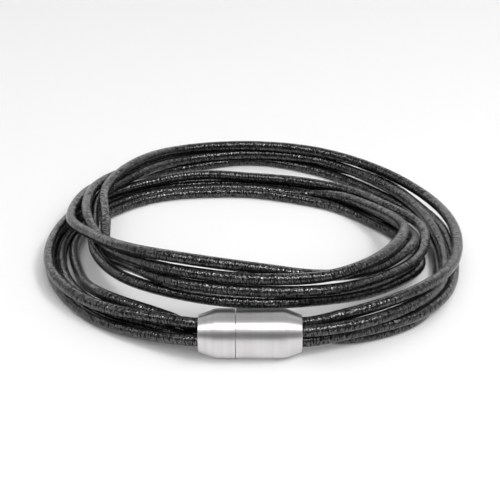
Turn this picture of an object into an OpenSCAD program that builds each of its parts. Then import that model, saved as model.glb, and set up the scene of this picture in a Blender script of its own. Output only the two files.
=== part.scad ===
// Leather cord bracelet: four round cords wound twice round, with both ends of each in a barrel clasp.
// The bracelet lies on the floor at z = 0 with the clasp at the front, on the -Y side.

/* [Cords] */
// Diameter of one leather cord
cord_d = 2; // [1.6:0.1:2]
// How far each cord end sits inside the clasp
cord_grip = 3.25; // [2:0.25:3.5]

/* [Clasp] */
// Outside diameter of the barrel
clasp_d = 8; // [7:0.1:8]
// Length of the barrel
clasp_l = 16.5; // [14:0.5:17]
// Diameter of the end faces, where the cones stop
mouth_d = 6; // [5.8:0.1:6.4]
// Length of the cone at each end
cone_l = 2.8; // [1:0.1:4]
// Diameter of the blind bores that hold the cords
bore_d = 5.4; // [5.3:0.1:5.5]
// Depth of the blind bores
bore_depth = 3.6; // [3.5:0.05:3.6]
// Share of the length that the short half takes
short_share = 0.36; // [0.36:0.01:0.5]
// Open seam between the halves
seam = 0.1; // [0.1:0.05:0.3]

/* [Magnets] */
// Diameter of the magnet in each half
magnet_d = 4; // [3:0.1:4.2]
// Thickness of each magnet
magnet_t = 0.8; // [0.5:0.05:0.8]

/* [Hidden] */
$fn = 64;

fit = 0.1;
leather = [0.09, 0.085, 0.09];
steel = [0.78, 0.78, 0.79];
magnet_grey = [0.55, 0.55, 0.57];

// The barrel's middle. Its lowest line rests on the floor.
clasp_middle = [-0.5, -36.7, clasp_d / 2];
seam_at = clasp_l * short_share;
wall = 0.6;
pocket_at = bore_depth + wall;
socket_at = pocket_at + magnet_t + fit / 2;
socket_d = bore_d + 0.2;
spigot_d = bore_d;

// Distances from the barrel's middle of three points on each cord end: its tip, inside the mouth, outside.
grip_x = clasp_l / 2 - cord_grip;
edge_x = clasp_l / 2 - 1.65;
leave_x = clasp_l / 2 + 0.3;

// A cord's way round, as one station each 22.5 degrees from the clasp, anticlockwise from above.
// The first station is 22.5 degrees past the clasp, and two turns come to 31 stations.
STATION = 22.5;
// Columns of each way: distance from the ring's middle, height of the cord's centre line.
WAY_1 = [
    [37.4, 6.1], [38.6, 6.65], [38.2, 4.95], [37.6, 4.5], [37.3, 3.95], [36.7, 4.55], [36.7, 5.15], [37.6, 5.05],
    [38.6, 4.95], [33.9, 6.9], [31, 6.75], [27.4, 6], [28.3, 4.25], [28.75, 6.97], [31.95, 9.2], [32.05, 9.1],
    [33.1, 8.5], [31.7, 6.4], [31.9, 4.9], [31.6, 4.4], [27.4, 4.05], [26.9, 3.1], [25.2, 3.1], [25.6, 2.95],
    [27.9, 3.45], [31.6, 2.95], [34.9, 3], [36.9, 3.1], [38.4, 3.3], [38.2, 4], [37.1, 5.2]
];
WAY_2 = [
    [39.4, 5.2], [39.2, 4.75], [36.8, 2.9], [34.4, 3.2], [34, 3.1], [34.7, 3.05], [36.8, 3.1], [37.7, 3.03],
    [37.2, 3.1], [32.9, 4.85], [32.3, 4.9], [29.6, 4.45], [30.2, 5.1], [31.15, 6.08], [31.2, 6.65], [32, 6.85],
    [32.3, 6.35], [30.8, 3.55], [32.1, 2.65], [29.3, 1.15], [24.6, 1.05], [22.7, 1], [21.35, 1], [22.1, 1],
    [24.1, 1], [28.1, 1], [31.2, 1], [33.2, 1.05], [33.4, 1.3], [35.6, 4.5], [35.1, 4.3]
];
WAY_3 = [
    [38.5, 3.15], [39.95, 2.85], [38.3, 1.5], [36.4, 2.6], [36, 1.8], [37, 2.3], [38.6, 1.5], [39.8, 2.9],
    [39.5, 3.1], [35.5, 5], [33.6, 6.5], [30.8, 7.03], [28.7, 6.7], [29.7, 9.25], [31.35, 11.12], [31.6, 11.08],
    [31.9, 10.45], [30.3, 9.6], [28.8, 8.65], [26.9, 5.9], [24.5, 4.2], [24.2, 2.7], [23.5, 1.1], [24.25, 1.05],
    [26.3, 1], [30.4, 1], [33.3, 1.05], [35.3, 1.1], [36, 1.4], [36.6, 2.4], [35.9, 2.3]
];
WAY_4 = [
    [36.9, 1.45], [38.9, 1.1], [35.6, 1], [33.7, 1], [34, 1], [33.8, 1], [36.1, 1], [38.6, 1.08],
    [37.25, 1.12], [36.8, 2.75], [35.3, 5.3], [33.8, 6.2], [30.2, 8.5], [30.1, 11.3], [30.5, 13.1], [29.5, 11.95],
    [30, 9.55], [29.7, 7.25], [30.3, 6.6], [29.35, 3.45], [26.3, 2.35], [25.6, 1.1], [26, 1.05], [26.4, 1],
    [28.6, 1], [32.7, 1], [35.5, 1], [37.4, 1], [38, 1.1], [38.15, 1.1], [38.4, 2.6]
];
// Where the cord ends stand in the mouths: back of and above the barrel's axis in the long half's
// mouth, then the same in the short half's mouth.
ENDS_1 = [1.07, 1.27, 0.35, 1.62];
ENDS_2 = [-1.05, 1.05, 1.65, 0.08];
ENDS_3 = [-0.78, -0.94, 0.32, -1.42];
ENDS_4 = [1.23, -1.05, -1.39, -0.37];

SIDES = 8;
STEPS = 2;

// A cord end's point, at a distance x from the barrel's middle.
function mouth_point(back, up, x) = clasp_middle + [x, back, up];

function station(way, i) =
    let (turn = -90 + STATION * (i + 1))
    [way[i][0] * cos(turn), way[i][0] * sin(turn), way[i][1]];

function knots(way, ends) = concat(
    [for (x = [grip_x, edge_x, leave_x]) mouth_point(ends[0], ends[1], x)],
    [for (i = [0 : len(way) - 1]) station(way, i)],
    [for (x = [leave_x, edge_x, grip_x]) mouth_point(ends[2], ends[3], -x)]
);

function unit(v) = v / norm(v);

// Direction of the line at a point, from its two neighbours, the nearer one counting more.
function slope(p, i) =
    i == 0 ? unit(p[1] - p[0]) :
    i == len(p) - 1 ? unit(p[i] - p[i - 1]) :
    let (before = norm(p[i] - p[i - 1]), after = norm(p[i + 1] - p[i]))
    (unit(p[i] - p[i - 1]) * after + unit(p[i + 1] - p[i]) * before) / (before + after);

// A point on the smooth curve from point i to the next, with t from 0 to 1.
function between(p, i, t) =
    let (reach = norm(p[i + 1] - p[i]), m = slope(p, i) * reach, n = slope(p, i + 1) * reach)
    p[i] * (1 + 2 * t) * pow(1 - t, 2) + m * t * pow(1 - t, 2)
    + p[i + 1] * t * t * (3 - 2 * t) - n * t * t * (1 - t);

function route(p) = concat(
    [for (i = [0 : len(p) - 2]) for (k = [0 : STEPS - 1]) between(p, i, k / STEPS)],
    [p[len(p) - 1]]
);

// The points of the ring of skin round one point of the line.
function ring(line, i, r) =
    let (
        along = slope(line, i),
        side = unit(cross(along, [0, 0, 1])),
        up = cross(side, along)
    )
    [for (k = [0 : SIDES - 1]) line[i] + r * (side * cos(k * 360 / SIDES) + up * sin(k * 360 / SIDES))];

module tube(line, r) {
    rings = len(line);
    skin = [for (i = [0 : rings - 1]) each ring(line, i, r)];
    walls = [
        for (i = [0 : rings - 2]) for (k = [0 : SIDES - 1])
        let (a = i * SIDES + k, b = i * SIDES + (k + 1) % SIDES)
        each [[a, b, a + SIDES], [b, b + SIDES, a + SIDES]]
    ];
    first = [for (k = [0 : SIDES - 1]) SIDES - 1 - k];
    last = [for (k = [0 : SIDES - 1]) (rings - 1) * SIDES + k];
    polyhedron(points = skin, faces = concat(walls, [first, last]));
}

module cord(way, ends) {
    color(leather) tube(route(knots(way, ends)), cord_d / 2);
}

module cord_1() cord(WAY_1, ENDS_1);
module cord_2() cord(WAY_2, ENDS_2);
module cord_3() cord(WAY_3, ENDS_3);
module cord_4() cord(WAY_4, ENDS_4);

// Places its children on the barrel's axis, with z counted from the short half's end face.
module on_axis() {
    translate(clasp_middle) rotate([0, 90, 0]) translate([0, 0, -clasp_l / 2]) children();
}

module barrel() {
    rotate_extrude()
        polygon([
            [0, 0], [mouth_d / 2, 0], [clasp_d / 2, cone_l],
            [clasp_d / 2, clasp_l - cone_l], [mouth_d / 2, clasp_l], [0, clasp_l]
        ]);
}

// A round space or block from one place on the axis to another.
module round_span(d, from, to) {
    translate([0, 0, from]) cylinder(d = d, h = to - from);
}

module clasp_short_half() {
    color(steel) on_axis() difference() {
        intersection() {
            barrel();
            round_span(clasp_d + 1, -1, seam_at - seam / 2);
        }
        round_span(bore_d, -1, bore_depth);
        round_span(magnet_d + fit, pocket_at, socket_at + 1);
        round_span(socket_d, socket_at, clasp_l);
    }
}

module clasp_long_half() {
    color(steel) on_axis() difference() {
        union() {
            intersection() {
                barrel();
                round_span(clasp_d + 1, seam_at + seam / 2, clasp_l + 1);
            }
            round_span(spigot_d, socket_at + fit, seam_at + 1);
        }
        round_span(magnet_d + fit, socket_at, socket_at + 1.5 * fit + magnet_t);
        round_span(bore_d, clasp_l - bore_depth, clasp_l + 1);
    }
}

module magnet_short_half() {
    color(magnet_grey) on_axis() round_span(magnet_d, pocket_at + fit / 2, pocket_at + fit / 2 + magnet_t);
}

module magnet_long_half() {
    color(magnet_grey) on_axis() round_span(magnet_d, socket_at + fit, socket_at + fit + magnet_t);
}

cord_1();
cord_2();
cord_3();
cord_4();
clasp_short_half();
clasp_long_half();
magnet_short_half();
magnet_long_half();
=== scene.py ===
"""Looks of the leather cord bracelet: four glossy leather cords and a satin steel barrel clasp."""

import math

import bmesh
import bpy
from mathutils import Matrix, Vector, noise

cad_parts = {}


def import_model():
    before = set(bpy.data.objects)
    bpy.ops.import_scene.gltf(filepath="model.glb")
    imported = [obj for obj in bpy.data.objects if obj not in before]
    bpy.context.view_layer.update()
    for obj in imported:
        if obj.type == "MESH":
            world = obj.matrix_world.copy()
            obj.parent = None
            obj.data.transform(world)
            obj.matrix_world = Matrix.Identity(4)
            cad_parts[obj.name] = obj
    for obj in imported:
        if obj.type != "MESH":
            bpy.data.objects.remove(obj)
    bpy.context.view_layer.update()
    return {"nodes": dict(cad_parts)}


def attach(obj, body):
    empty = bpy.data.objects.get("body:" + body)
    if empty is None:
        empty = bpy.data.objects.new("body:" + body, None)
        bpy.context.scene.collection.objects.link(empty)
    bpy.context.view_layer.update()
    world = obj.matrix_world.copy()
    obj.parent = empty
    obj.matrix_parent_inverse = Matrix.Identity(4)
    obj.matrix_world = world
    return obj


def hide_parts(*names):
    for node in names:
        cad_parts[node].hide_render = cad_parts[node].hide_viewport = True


MM = 0.001

# Camera
LOOK_AT = Vector((-0.5, -6.5, 3.0)) * MM
CAMERA_RISE = 28.0
CAMERA_DISTANCE = 213.0 * MM
NEAREST_SEEN = 0.01
FARTHEST_SEEN = 20
LENS = 83.88
SENSOR = 36.0

# Cords, in mm
CORD_R = 1.0
# The skin is drawn a little thinner than the cord, so that its swells end near the true radius.
SHRINK = 0.988
CORD_SIDES = 20
RING_GAP = 0.4
# How far the leather's pattern is shifted from one cord to the next
PATTERN_SHIFT = 500
# Swells, dents and creases of the skin. Columns: length along the cord, rate of change round it,
# shift from one cord to the next, height as a share of the radius.
SWELLS = (
    (5.0, 0.9, 31, 0.012),
    (1.7, 1.17, 57, 0.009),
    (0.75, 0.72, 83, 0.006),
)

# Clasp, in mm
CLASP_D = 8.0
CLASP_L = 16.5
CLASP_MIDDLE = Vector((-0.5, -36.7, CLASP_D / 2))
MOUTH_D = 6.0
CONE_L = 2.8
BORE_D = 5.4
BORE_DEPTH = 3.6
SHORT_SHARE = 0.36
SEAM = 0.1
MAGNET_D = 4.0
MAGNET_T = 0.8
FIT = 0.1
WALL = 0.6
POCKET_D = MAGNET_D + FIT
SOCKET_D = BORE_D + 2 * FIT
# Places along the barrel, counted from the short half's end face
SEAM_AT = SHORT_SHARE * CLASP_L
SHORT_POCKET_AT = BORE_DEPTH + WALL
SOCKET_AT = SHORT_POCKET_AT + MAGNET_T + FIT / 2
SPIGOT_AT = SOCKET_AT + FIT
LONG_POCKET_AT = SPIGOT_AT + MAGNET_T + FIT / 2
# Rounded corners of a half's outline. Columns: number of the corner, from 0, width of its rounding,
# segments of its rounding.
ROUNDED_CORNERS = (
    (5, 0.03, 2),
    (6, 0.5, 6),
    (7, 0.14, 4),
    (8, 0.08, 3),
)
TURNING_STEPS = 128
SHARP_EDGE = 35.0
SAME_PLACE = 1e-6

# Distances from the barrel's middle of three points on each cord end: its tip, inside the mouth, outside.
GRIP_X = CLASP_L / 2 - 3.25
EDGE_X = CLASP_L / 2 - 1.65
LEAVE_X = CLASP_L / 2 + 0.3

# A cord's way round, as one station each 22.5 degrees from the clasp, anticlockwise from above.
# Columns of a station: distance from the ring's middle, height of the cord's centre line.
# Lines of four stations end at the right, the back, the left, the front, and once more the right,
# the back and the left.
FRONT = -90.0
STATION = 22.5
WAY_1 = (
    (37.4, 6.1), (38.6, 6.65), (38.2, 4.95), (37.6, 4.5),
    (37.3, 3.95), (36.7, 4.55), (36.7, 5.15), (37.6, 5.05),
    (38.6, 4.95), (33.9, 6.9), (31, 6.75), (27.4, 6),
    (28.3, 4.25), (28.75, 6.97), (31.95, 9.2), (32.05, 9.1),
    (33.1, 8.5), (31.7, 6.4), (31.9, 4.9), (31.6, 4.4),
    (27.4, 4.05), (26.9, 3.1), (25.2, 3.1), (25.6, 2.95),
    (27.9, 3.45), (31.6, 2.95), (34.9, 3), (36.9, 3.1),
    (38.4, 3.3), (38.2, 4), (37.1, 5.2),
)
WAY_2 = (
    (39.4, 5.2), (39.2, 4.75), (36.8, 2.9), (34.4, 3.2),
    (34, 3.1), (34.7, 3.05), (36.8, 3.1), (37.7, 3.03),
    (37.2, 3.1), (32.9, 4.85), (32.3, 4.9), (29.6, 4.45),
    (30.2, 5.1), (31.15, 6.08), (31.2, 6.65), (32, 6.85),
    (32.3, 6.35), (30.8, 3.55), (32.1, 2.65), (29.3, 1.15),
    (24.6, 1.05), (22.7, 1), (21.35, 1), (22.1, 1),
    (24.1, 1), (28.1, 1), (31.2, 1), (33.2, 1.05),
    (33.4, 1.3), (35.6, 4.5), (35.1, 4.3),
)
WAY_3 = (
    (38.5, 3.15), (39.95, 2.85), (38.3, 1.5), (36.4, 2.6),
    (36, 1.8), (37, 2.3), (38.6, 1.5), (39.8, 2.9),
    (39.5, 3.1), (35.5, 5), (33.6, 6.5), (30.8, 7.03),
    (28.7, 6.7), (29.7, 9.25), (31.35, 11.12), (31.6, 11.08),
    (31.9, 10.45), (30.3, 9.6), (28.8, 8.65), (26.9, 5.9),
    (24.5, 4.2), (24.2, 2.7), (23.5, 1.1), (24.25, 1.05),
    (26.3, 1), (30.4, 1), (33.3, 1.05), (35.3, 1.1),
    (36, 1.4), (36.6, 2.4), (35.9, 2.3),
)
WAY_4 = (
    (36.9, 1.45), (38.9, 1.1), (35.6, 1), (33.7, 1),
    (34, 1), (33.8, 1), (36.1, 1), (38.6, 1.08),
    (37.25, 1.12), (36.8, 2.75), (35.3, 5.3), (33.8, 6.2),
    (30.2, 8.5), (30.1, 11.3), (30.5, 13.1), (29.5, 11.95),
    (30, 9.55), (29.7, 7.25), (30.3, 6.6), (29.35, 3.45),
    (26.3, 2.35), (25.6, 1.1), (26, 1.05), (26.4, 1),
    (28.6, 1), (32.7, 1), (35.5, 1), (37.4, 1),
    (38, 1.1), (38.15, 1.1), (38.4, 2.6),
)
# Where each cord's ends stand in the mouths. Columns: back of and above the barrel's axis in the
# long half's mouth, then the same in the short half's mouth.
MOUTHS = (
    (1.07, 1.27, 0.35, 1.62),
    (-1.05, 1.05, 1.65, 0.08),
    (-0.78, -0.94, 0.32, -1.42),
    (1.23, -1.05, -1.39, -0.37),
)

# Colours, from the darkest patches of a finish to the lightest
LEATHER_DARK = (0.0030, 0.0027, 0.0030)
LEATHER_LIGHT = (0.0070, 0.0064, 0.0071)
STEEL_DARK = (0.7, 0.685, 0.69)
STEEL_LIGHT = (0.76, 0.745, 0.75)
NICKEL_DARK = (0.45, 0.44, 0.43)
NICKEL_LIGHT = (0.58, 0.57, 0.55)
FLOOR_WHITE = (0.86, 0.86, 0.86)

# Lights, in degrees and metres. Azimuth 0 is the camera's side and 90 the right.
# Columns: name, azimuth, rise, distance, width, height, radiance, whether it lights dull surfaces,
# whether glossy surfaces show it.
LIGHTS = (
    ("fill", 60, 68, 1.4, 1.7, 1.7, 0.45, True, False),
    ("key", 12, 58, 0.8, 1.6, 0.62, 0.25, True, True),
    ("lamp_middle", 10, 58, 0.75, 0.2, 0.36, 6.5, False, True),
    ("lamp_left", -48, 54, 0.75, 0.2, 0.15, 16.0, False, True),
    ("lamp_right", 52, 54, 0.75, 0.2, 0.15, 18.0, True, True),
    ("low_front", 14, 38, 1.0, 1.1, 0.6, 3.1, True, False),
    ("overhead", 180, 76, 0.9, 0.9, 0.7, 0.5, True, False),
    ("back", 180, 24, 0.9, 1.9, 0.55, 1.3, False, True),
    ("right", 85, 30, 0.8, 0.6, 0.5, 0.45, False, True),
    ("left", -85, 30, 0.8, 0.6, 0.5, 0.6, False, True),
)
# The room's brightness on the camera's side and behind the bracelet
ROOM_FRONT = 0.18
ROOM_BACK = 0.46
# Where the one starts to change to the other and where it ends, from -1 at the front to 1 at the back
ROOM_CHANGE = (-0.45, 0.35)
FLOOR_SIZE = 3


def deselect():
    for thing in bpy.context.selected_objects:
        thing.select_set(False)


def make_active(thing):
    deselect()
    thing.select_set(True)
    bpy.context.view_layer.objects.active = thing


def set_camera():
    rise = math.radians(CAMERA_RISE)
    data = bpy.data.cameras.new("camera")
    data.lens = LENS
    data.sensor_width = SENSOR
    data.clip_start = NEAREST_SEEN
    data.clip_end = FARTHEST_SEEN
    camera = bpy.data.objects.new("camera", data)
    bpy.context.collection.objects.link(camera)
    camera.location = LOOK_AT + CAMERA_DISTANCE * Vector((0, -math.cos(rise), math.sin(rise)))
    camera.rotation_euler = (math.radians(90) - rise, 0, 0)
    bpy.context.scene.camera = camera


# Routes of the cords


def knots(way, ends):
    """The points that a cord goes through, in mm, from the long half's mouth to the short half's."""
    start = CLASP_MIDDLE + Vector((0, ends[0], ends[1]))
    end = CLASP_MIDDLE + Vector((0, ends[2], ends[3]))
    points = [start + Vector((x, 0, 0)) for x in (GRIP_X, EDGE_X, LEAVE_X)]
    for i, (reach, height) in enumerate(way):
        turn = math.radians(FRONT + STATION * (i + 1))
        points.append(Vector((reach * math.cos(turn), reach * math.sin(turn), height)))
    return points + [end - Vector((x, 0, 0)) for x in (LEAVE_X, EDGE_X, GRIP_X)]


def slope(points, i):
    """Direction of the line at a point, from its two neighbours, the nearer one counting more."""
    if i == 0:
        return (points[1] - points[0]).normalized()
    if i == len(points) - 1:
        return (points[i] - points[i - 1]).normalized()
    back = points[i] - points[i - 1]
    ahead = points[i + 1] - points[i]
    both = back.length + ahead.length
    return (back.normalized() * ahead.length + ahead.normalized() * back.length) / both


def between(points, i, t):
    """A point on the smooth curve from point i to the next, with t from 0 to 1."""
    reach = (points[i + 1] - points[i]).length
    leaving = slope(points, i) * reach
    arriving = slope(points, i + 1) * reach
    return (
        points[i] * (1 + 2 * t) * (1 - t) ** 2
        + leaving * t * (1 - t) ** 2
        + points[i + 1] * t * t * (3 - 2 * t)
        - arriving * t * t * (1 - t)
    )


def route(way, ends):
    """The centre line in mm, with a point about each RING_GAP."""
    points = knots(way, ends)
    line = []
    for i in range(len(points) - 1):
        steps = max(2, round((points[i + 1] - points[i]).length / RING_GAP))
        line += [between(points, i, k / steps) for k in range(steps)]
    return line + [points[-1]]


# Cords


def plumpness(along, around, number):
    """How far the leather stands out or in at a place on a cord, as a share of its radius."""
    total = 0.0
    for length, rate, shift, height in SWELLS:
        spot = (along / length + number * shift, rate * math.cos(around), rate * math.sin(around))
        total += height * noise.noise(Vector(spot))
    return total


def make_cord(name, way, ends, number):
    """A cord's object, its path in metres and its length. The attribute unrolled carries its pattern."""
    line = route(way, ends)
    skin = bmesh.new()
    unrolled = skin.verts.layers.float_vector.new("unrolled")
    rings = []
    along = 0.0
    for i, centre in enumerate(line):
        if i:
            along += (centre - line[i - 1]).length
        ahead = slope(line, i)
        side = ahead.cross(Vector((0, 0, 1))).normalized()
        up = side.cross(ahead)
        ring = []
        for k in range(CORD_SIDES):
            around = 2 * math.pi * k / CORD_SIDES
            out = side * math.cos(around) + up * math.sin(around)
            radius = CORD_R * SHRINK * (1 + plumpness(along, around, number))
            vertex = skin.verts.new((centre + out * radius) * MM)
            vertex[unrolled] = Vector((along + number * PATTERN_SHIFT, math.cos(around), math.sin(around)))
            ring.append(vertex)
        rings.append(ring)
    for one, two in zip(rings, rings[1:]):
        for k in range(CORD_SIDES):
            j = (k + 1) % CORD_SIDES
            skin.faces.new((one[k], one[j], two[j], two[k]))
    skin.faces.new(rings[0][::-1])
    skin.faces.new(rings[-1])
    bmesh.ops.recalc_face_normals(skin, faces=skin.faces)
    mesh = bpy.data.meshes.new(name)
    skin.to_mesh(mesh)
    skin.free()
    for face in mesh.polygons:
        face.use_smooth = True
    cord = bpy.data.objects.new(name, mesh)
    bpy.context.collection.objects.link(cord)
    path = [point * MM for point in line]
    length = sum((b - a).length for a, b in zip(path, path[1:]))
    return cord, path, length


# Clasp halves


def select_only(part, spot):
    """Selects the one corner of a part in edit mode that lies at a spot."""
    bpy.ops.mesh.select_all(action="DESELECT")
    work = bmesh.from_edit_mesh(part.data)
    for vertex in work.verts:
        vertex.select_set((vertex.co - spot).length < SAME_PLACE)
    work.select_flush_mode()
    bmesh.update_edit_mesh(part.data)


def turned(name, outline):
    """Turns an outline of (place along the barrel, radius) about the barrel's axis."""
    deselect()
    bpy.ops.mesh.primitive_plane_add(size=MM, location=(0, 0, 0))
    part = bpy.context.object
    part.name = name
    part.data.name = name
    # The plane becomes one corner, which is then drawn out along the outline.
    bpy.ops.object.mode_set(mode="EDIT")
    bpy.ops.mesh.select_all(action="SELECT")
    bpy.ops.mesh.merge(type="CENTER")
    end_face = CLASP_MIDDLE - Vector((CLASP_L / 2, 0, 0))
    spots = [(end_face + Vector((x, 0, radius))) * MM for x, radius in outline]
    bpy.ops.transform.translate(value=spots[0])
    for one, two in zip(spots, spots[1:]):
        bpy.ops.mesh.extrude_region_move(TRANSFORM_OT_translate={"value": two - one})
    for corner, width, segments in ROUNDED_CORNERS:
        select_only(part, spots[corner])
        bpy.ops.mesh.bevel(offset=width * MM, segments=segments, affect="VERTICES")
    bpy.ops.mesh.select_all(action="SELECT")
    bpy.ops.mesh.spin(steps=TURNING_STEPS, angle=2 * math.pi, center=CLASP_MIDDLE * MM, axis=(1, 0, 0))
    bpy.ops.mesh.select_all(action="SELECT")
    bpy.ops.mesh.remove_doubles(threshold=SAME_PLACE)
    bpy.ops.mesh.select_all(action="SELECT")
    bpy.ops.mesh.normals_make_consistent(inside=False)
    bpy.ops.object.mode_set(mode="OBJECT")
    make_active(part)
    bpy.ops.object.shade_smooth_by_angle(angle=math.radians(SHARP_EDGE))
    return part


def make_short_half():
    outline = [
        (SHORT_POCKET_AT, 0),
        (SHORT_POCKET_AT, POCKET_D / 2),
        (SOCKET_AT, POCKET_D / 2),
        (SOCKET_AT, SOCKET_D / 2),
        (SEAM_AT - SEAM / 2, SOCKET_D / 2),
        (SEAM_AT - SEAM / 2, CLASP_D / 2),
        (CONE_L, CLASP_D / 2),
        (0, MOUTH_D / 2),
        (0, BORE_D / 2),
        (BORE_DEPTH, BORE_D / 2),
        (BORE_DEPTH, 0),
    ]
    return turned("short_half_shell", outline)


def make_long_half():
    outline = [
        (LONG_POCKET_AT, 0),
        (LONG_POCKET_AT, POCKET_D / 2),
        (SPIGOT_AT, POCKET_D / 2),
        (SPIGOT_AT, BORE_D / 2),
        (SEAM_AT + SEAM / 2, BORE_D / 2),
        (SEAM_AT + SEAM / 2, CLASP_D / 2),
        (CLASP_L - CONE_L, CLASP_D / 2),
        (CLASP_L, MOUTH_D / 2),
        (CLASP_L, BORE_D / 2),
        (CLASP_L - BORE_DEPTH, BORE_D / 2),
        (CLASP_L - BORE_DEPTH, 0),
    ]
    return turned("long_half_shell", outline)


# Materials


class Recipe:
    """A material's node tree, with short ways to add and join nodes."""

    def __init__(self, name):
        self.material = bpy.data.materials.new(name)
        self.material.use_nodes = True
        self.tree = self.material.node_tree
        self.shader = self.tree.nodes["Principled BSDF"]

    def add(self, kind, **settings):
        node = self.tree.nodes.new(kind)
        for key, value in settings.items():
            setattr(node, key, value)
        return node

    def join(self, output, socket):
        self.tree.links.new(output, socket)

    def noise(self, vector, detail, roughness=0.5, scale=1.0):
        node = self.add("ShaderNodeTexNoise")
        node.inputs["Scale"].default_value = scale
        node.inputs["Detail"].default_value = detail
        node.inputs["Roughness"].default_value = roughness
        self.join(vector, node.inputs["Vector"])
        return node.outputs["Fac"]

    def stretched(self, vector, scale):
        node = self.add("ShaderNodeMapping")
        node.inputs["Scale"].default_value = scale
        self.join(vector, node.inputs["Vector"])
        return node.outputs["Vector"]

    def math(self, operation, a, b):
        """Works on two values, each an output or a plain number."""
        node = self.add("ShaderNodeMath", operation=operation)
        for socket, value in zip(node.inputs, (a, b)):
            if isinstance(value, float):
                socket.default_value = value
            else:
                self.join(value, socket)
        return node.outputs[0]

    def spread(self, value, given, wanted):
        """Carries a value from the range given over to the range wanted."""
        node = self.add("ShaderNodeMapRange")
        self.join(value, node.inputs["Value"])
        node.inputs["From Min"].default_value = given[0]
        node.inputs["From Max"].default_value = given[1]
        node.inputs["To Min"].default_value = wanted[0]
        node.inputs["To Max"].default_value = wanted[1]
        return node.outputs["Result"]

    def colours(self, value, given, dark, light):
        """A blend from the dark colour to the light one, while a value goes through the range given."""
        node = self.add("ShaderNodeValToRGB")
        for element, place, colour in zip(node.color_ramp.elements, given, (dark, light)):
            element.position = place
            element.color = (*colour, 1)
        self.join(value, node.inputs["Fac"])
        return node.outputs["Color"]

    def bump(self, height, strength, distance, normal=None):
        node = self.add("ShaderNodeBump")
        node.inputs["Strength"].default_value = strength
        node.inputs["Distance"].default_value = distance
        self.join(height, node.inputs["Height"])
        if normal is not None:
            self.join(normal, node.inputs["Normal"])
        return node.outputs["Normal"]


def leather_finish():
    """Black dyed leather, whose cross wrinkles and cracks break the gloss into specks; its uneven gloss is
    also turned down along fine cross ticks and in the cracks as painted shade.
    """
    recipe = Recipe("black_glossy_leather")
    shader = recipe.shader
    unrolled = recipe.add("ShaderNodeAttribute", attribute_name="unrolled").outputs["Vector"]
    wrinkle = recipe.noise(recipe.stretched(unrolled, (2.4, 1.6, 1.6)), detail=1.0, roughness=0.4)
    fine = recipe.noise(recipe.stretched(unrolled, (6.0, 3.0, 3.0)), detail=1.0, roughness=0.4)
    patch = recipe.noise(recipe.stretched(unrolled, (0.22, 0.5, 0.5)), detail=3.0)
    hatch = recipe.noise(recipe.stretched(unrolled, (5.0, 1.2, 1.2)), detail=1.0)
    grain = recipe.add("ShaderNodeTexVoronoi", feature="DISTANCE_TO_EDGE")
    grain.inputs["Scale"].default_value = 1.0
    recipe.join(recipe.stretched(unrolled, (3.2, 2.2, 2.2)), grain.inputs["Vector"])
    crack = recipe.spread(grain.outputs["Distance"], (0.0, 0.12), (0.0, 1.0))

    colour = recipe.colours(patch, (0.3, 0.7), LEATHER_DARK, LEATHER_LIGHT)
    recipe.join(colour, shader.inputs["Base Color"])
    worn = recipe.spread(patch, (0.3, 0.7), (0.08, 0.13))
    rough = recipe.math("ADD", worn, recipe.math("MULTIPLY", fine, 0.04))
    recipe.join(rough, shader.inputs["Roughness"])
    shader.inputs["IOR"].default_value = 1.5
    # The gloss varies along fine cross ticks, partly as uneven gloss and partly as painted shade in the
    # cross wrinkles, and is turned down in the cracks as painted shade.
    gloss_flecks_and_shade = recipe.spread(hatch, (0.38, 0.62), (0.08, 1.6))
    crack_shade = recipe.spread(crack, (0.0, 1.0), (0.45, 1.0))
    shine = recipe.math("MULTIPLY", gloss_flecks_and_shade, crack_shade)
    recipe.join(shine, shader.inputs["Specular IOR Level"])
    normal = recipe.bump(wrinkle, strength=1.0, distance=0.14 * MM)
    normal = recipe.bump(crack, strength=0.5, distance=0.02 * MM, normal=normal)
    normal = recipe.bump(fine, strength=0.8, distance=0.04 * MM, normal=normal)
    recipe.join(normal, shader.inputs["Normal"])
    return recipe.material


def steel_finish():
    """Satin steel with turning marks, which spread a reflection along the barrel."""
    recipe = Recipe("satin_turned_steel")
    shader = recipe.shader
    place = recipe.add("ShaderNodeTexCoord").outputs["Object"]
    lines = recipe.noise(recipe.stretched(place, (9000, 160, 160)), detail=4.0, roughness=0.7)
    bands = recipe.noise(recipe.stretched(place, (1400, 60, 60)), detail=2.0)
    wear = recipe.noise(place, detail=3.0, scale=500)
    colour = recipe.colours(bands, (0.3, 0.7), STEEL_DARK, STEEL_LIGHT)
    recipe.join(colour, shader.inputs["Base Color"])
    shader.inputs["Metallic"].default_value = 1.0
    marks = recipe.spread(lines, (0.3, 0.7), (0.4, 0.45))
    rough = recipe.math("ADD", marks, recipe.math("MULTIPLY", wear, 0.05))
    recipe.join(rough, shader.inputs["Roughness"])
    shader.inputs["Anisotropic"].default_value = 0.9
    axis = recipe.add("ShaderNodeCombineXYZ")
    axis.inputs["X"].default_value = 1.0
    recipe.join(axis.outputs["Vector"], shader.inputs["Tangent"])
    recipe.join(recipe.bump(lines, strength=0.04, distance=0.01 * MM), shader.inputs["Normal"])
    return recipe.material


def magnet_finish():
    """Nickel plate with fine scuffs."""
    recipe = Recipe("nickel_plated_magnet")
    shader = recipe.shader
    place = recipe.add("ShaderNodeTexCoord").outputs["Object"]
    scuffs = recipe.noise(place, detail=5.0, roughness=0.65, scale=1800)
    colour = recipe.colours(scuffs, (0.35, 0.65), NICKEL_DARK, NICKEL_LIGHT)
    recipe.join(colour, shader.inputs["Base Color"])
    shader.inputs["Metallic"].default_value = 1.0
    recipe.join(recipe.spread(scuffs, (0.3, 0.7), (0.16, 0.3)), shader.inputs["Roughness"])
    recipe.join(recipe.bump(scuffs, strength=0.1, distance=0.01 * MM), shader.inputs["Normal"])
    return recipe.material


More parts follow.
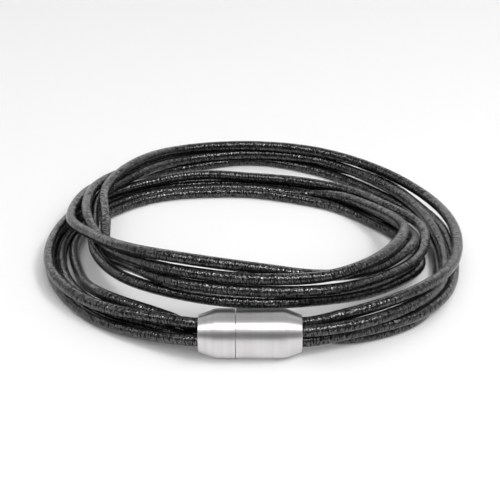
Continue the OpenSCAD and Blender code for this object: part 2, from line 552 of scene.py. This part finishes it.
def floor_finish():
    """The plain white surface that the bracelet lies on."""
    recipe = Recipe("white_table")
    shader = recipe.shader
    shader.inputs["Base Color"].default_value = (*FLOOR_WHITE, 1)
    shader.inputs["Roughness"].default_value = 0.75
    shader.inputs["Specular IOR Level"].default_value = 0.2
    return recipe.material


def paint(thing, material):
    thing.data.materials.clear()
    thing.data.materials.append(material)


# Studio


def make_floor():
    deselect()
    bpy.ops.mesh.primitive_plane_add(size=FLOOR_SIZE, location=(0, 0, 0))
    floor = bpy.context.object
    floor.name = "floor"
    paint(floor, floor_finish())


def softbox(name, azimuth, rise, distance, width, height, radiance, diffuse, gloss):
    """A rectangular light that faces the bracelet."""
    turn = math.radians(azimuth)
    lift = math.radians(rise)
    back = Vector((math.sin(turn) * math.cos(lift), -math.cos(turn) * math.cos(lift), math.sin(lift)))
    data = bpy.data.lights.new(name, "AREA")
    data.shape = "RECTANGLE"
    data.size = width
    data.size_y = height
    data.energy = radiance * math.pi * width * height
    light = bpy.data.objects.new(name, data)
    bpy.context.collection.objects.link(light)
    light.location = back * distance
    light.rotation_euler = back.to_track_quat("Z", "Y").to_euler()
    light.visible_camera = False
    light.visible_diffuse = diffuse
    light.visible_glossy = gloss


def light_room():
    """A grey room round the table, darker on the camera's side than behind the bracelet."""
    room = bpy.data.worlds.new("room")
    bpy.context.scene.world = room
    room.use_nodes = True
    tree = room.node_tree
    where = tree.nodes.new("ShaderNodeTexCoord")
    split = tree.nodes.new("ShaderNodeSeparateXYZ")
    tree.links.new(where.outputs["Generated"], split.inputs["Vector"])
    depth = tree.nodes.new("ShaderNodeMapRange")
    tree.links.new(split.outputs["Y"], depth.inputs["Value"])
    depth.inputs["From Min"].default_value = ROOM_CHANGE[0]
    depth.inputs["From Max"].default_value = ROOM_CHANGE[1]
    ramp = tree.nodes.new("ShaderNodeValToRGB")
    for element, grey in zip(ramp.color_ramp.elements, (ROOM_FRONT, ROOM_BACK)):
        element.color = (grey, grey, grey, 1)
    tree.links.new(depth.outputs["Result"], ramp.inputs["Fac"])
    tree.links.new(ramp.outputs["Color"], tree.nodes["Background"].inputs["Color"])


def light_studio():
    light_room()
    for light in LIGHTS:
        softbox(*light)
    bpy.context.scene.view_settings.view_transform = "Standard"


def main():
    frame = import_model()
    set_camera()

    leather = leather_finish()
    ways = (WAY_1, WAY_2, WAY_3, WAY_4)
    for number, (way, ends) in enumerate(zip(ways, MOUTHS), start=1):
        cord, path, length = make_cord(f"leather_cord_{number}", way, ends, number)
        paint(cord, leather)
        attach(cord, "root")
        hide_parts(f"cord_{number}")

    steel = steel_finish()
    for shell, node in ((make_short_half(), "clasp_short_half"), (make_long_half(), "clasp_long_half")):
        paint(shell, steel)
        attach(shell, "root")
        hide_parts(node)

    magnet = magnet_finish()
    for node in ("magnet_short_half", "magnet_long_half"):
        paint(frame["nodes"][node], magnet)

    make_floor()
    light_studio()


main()
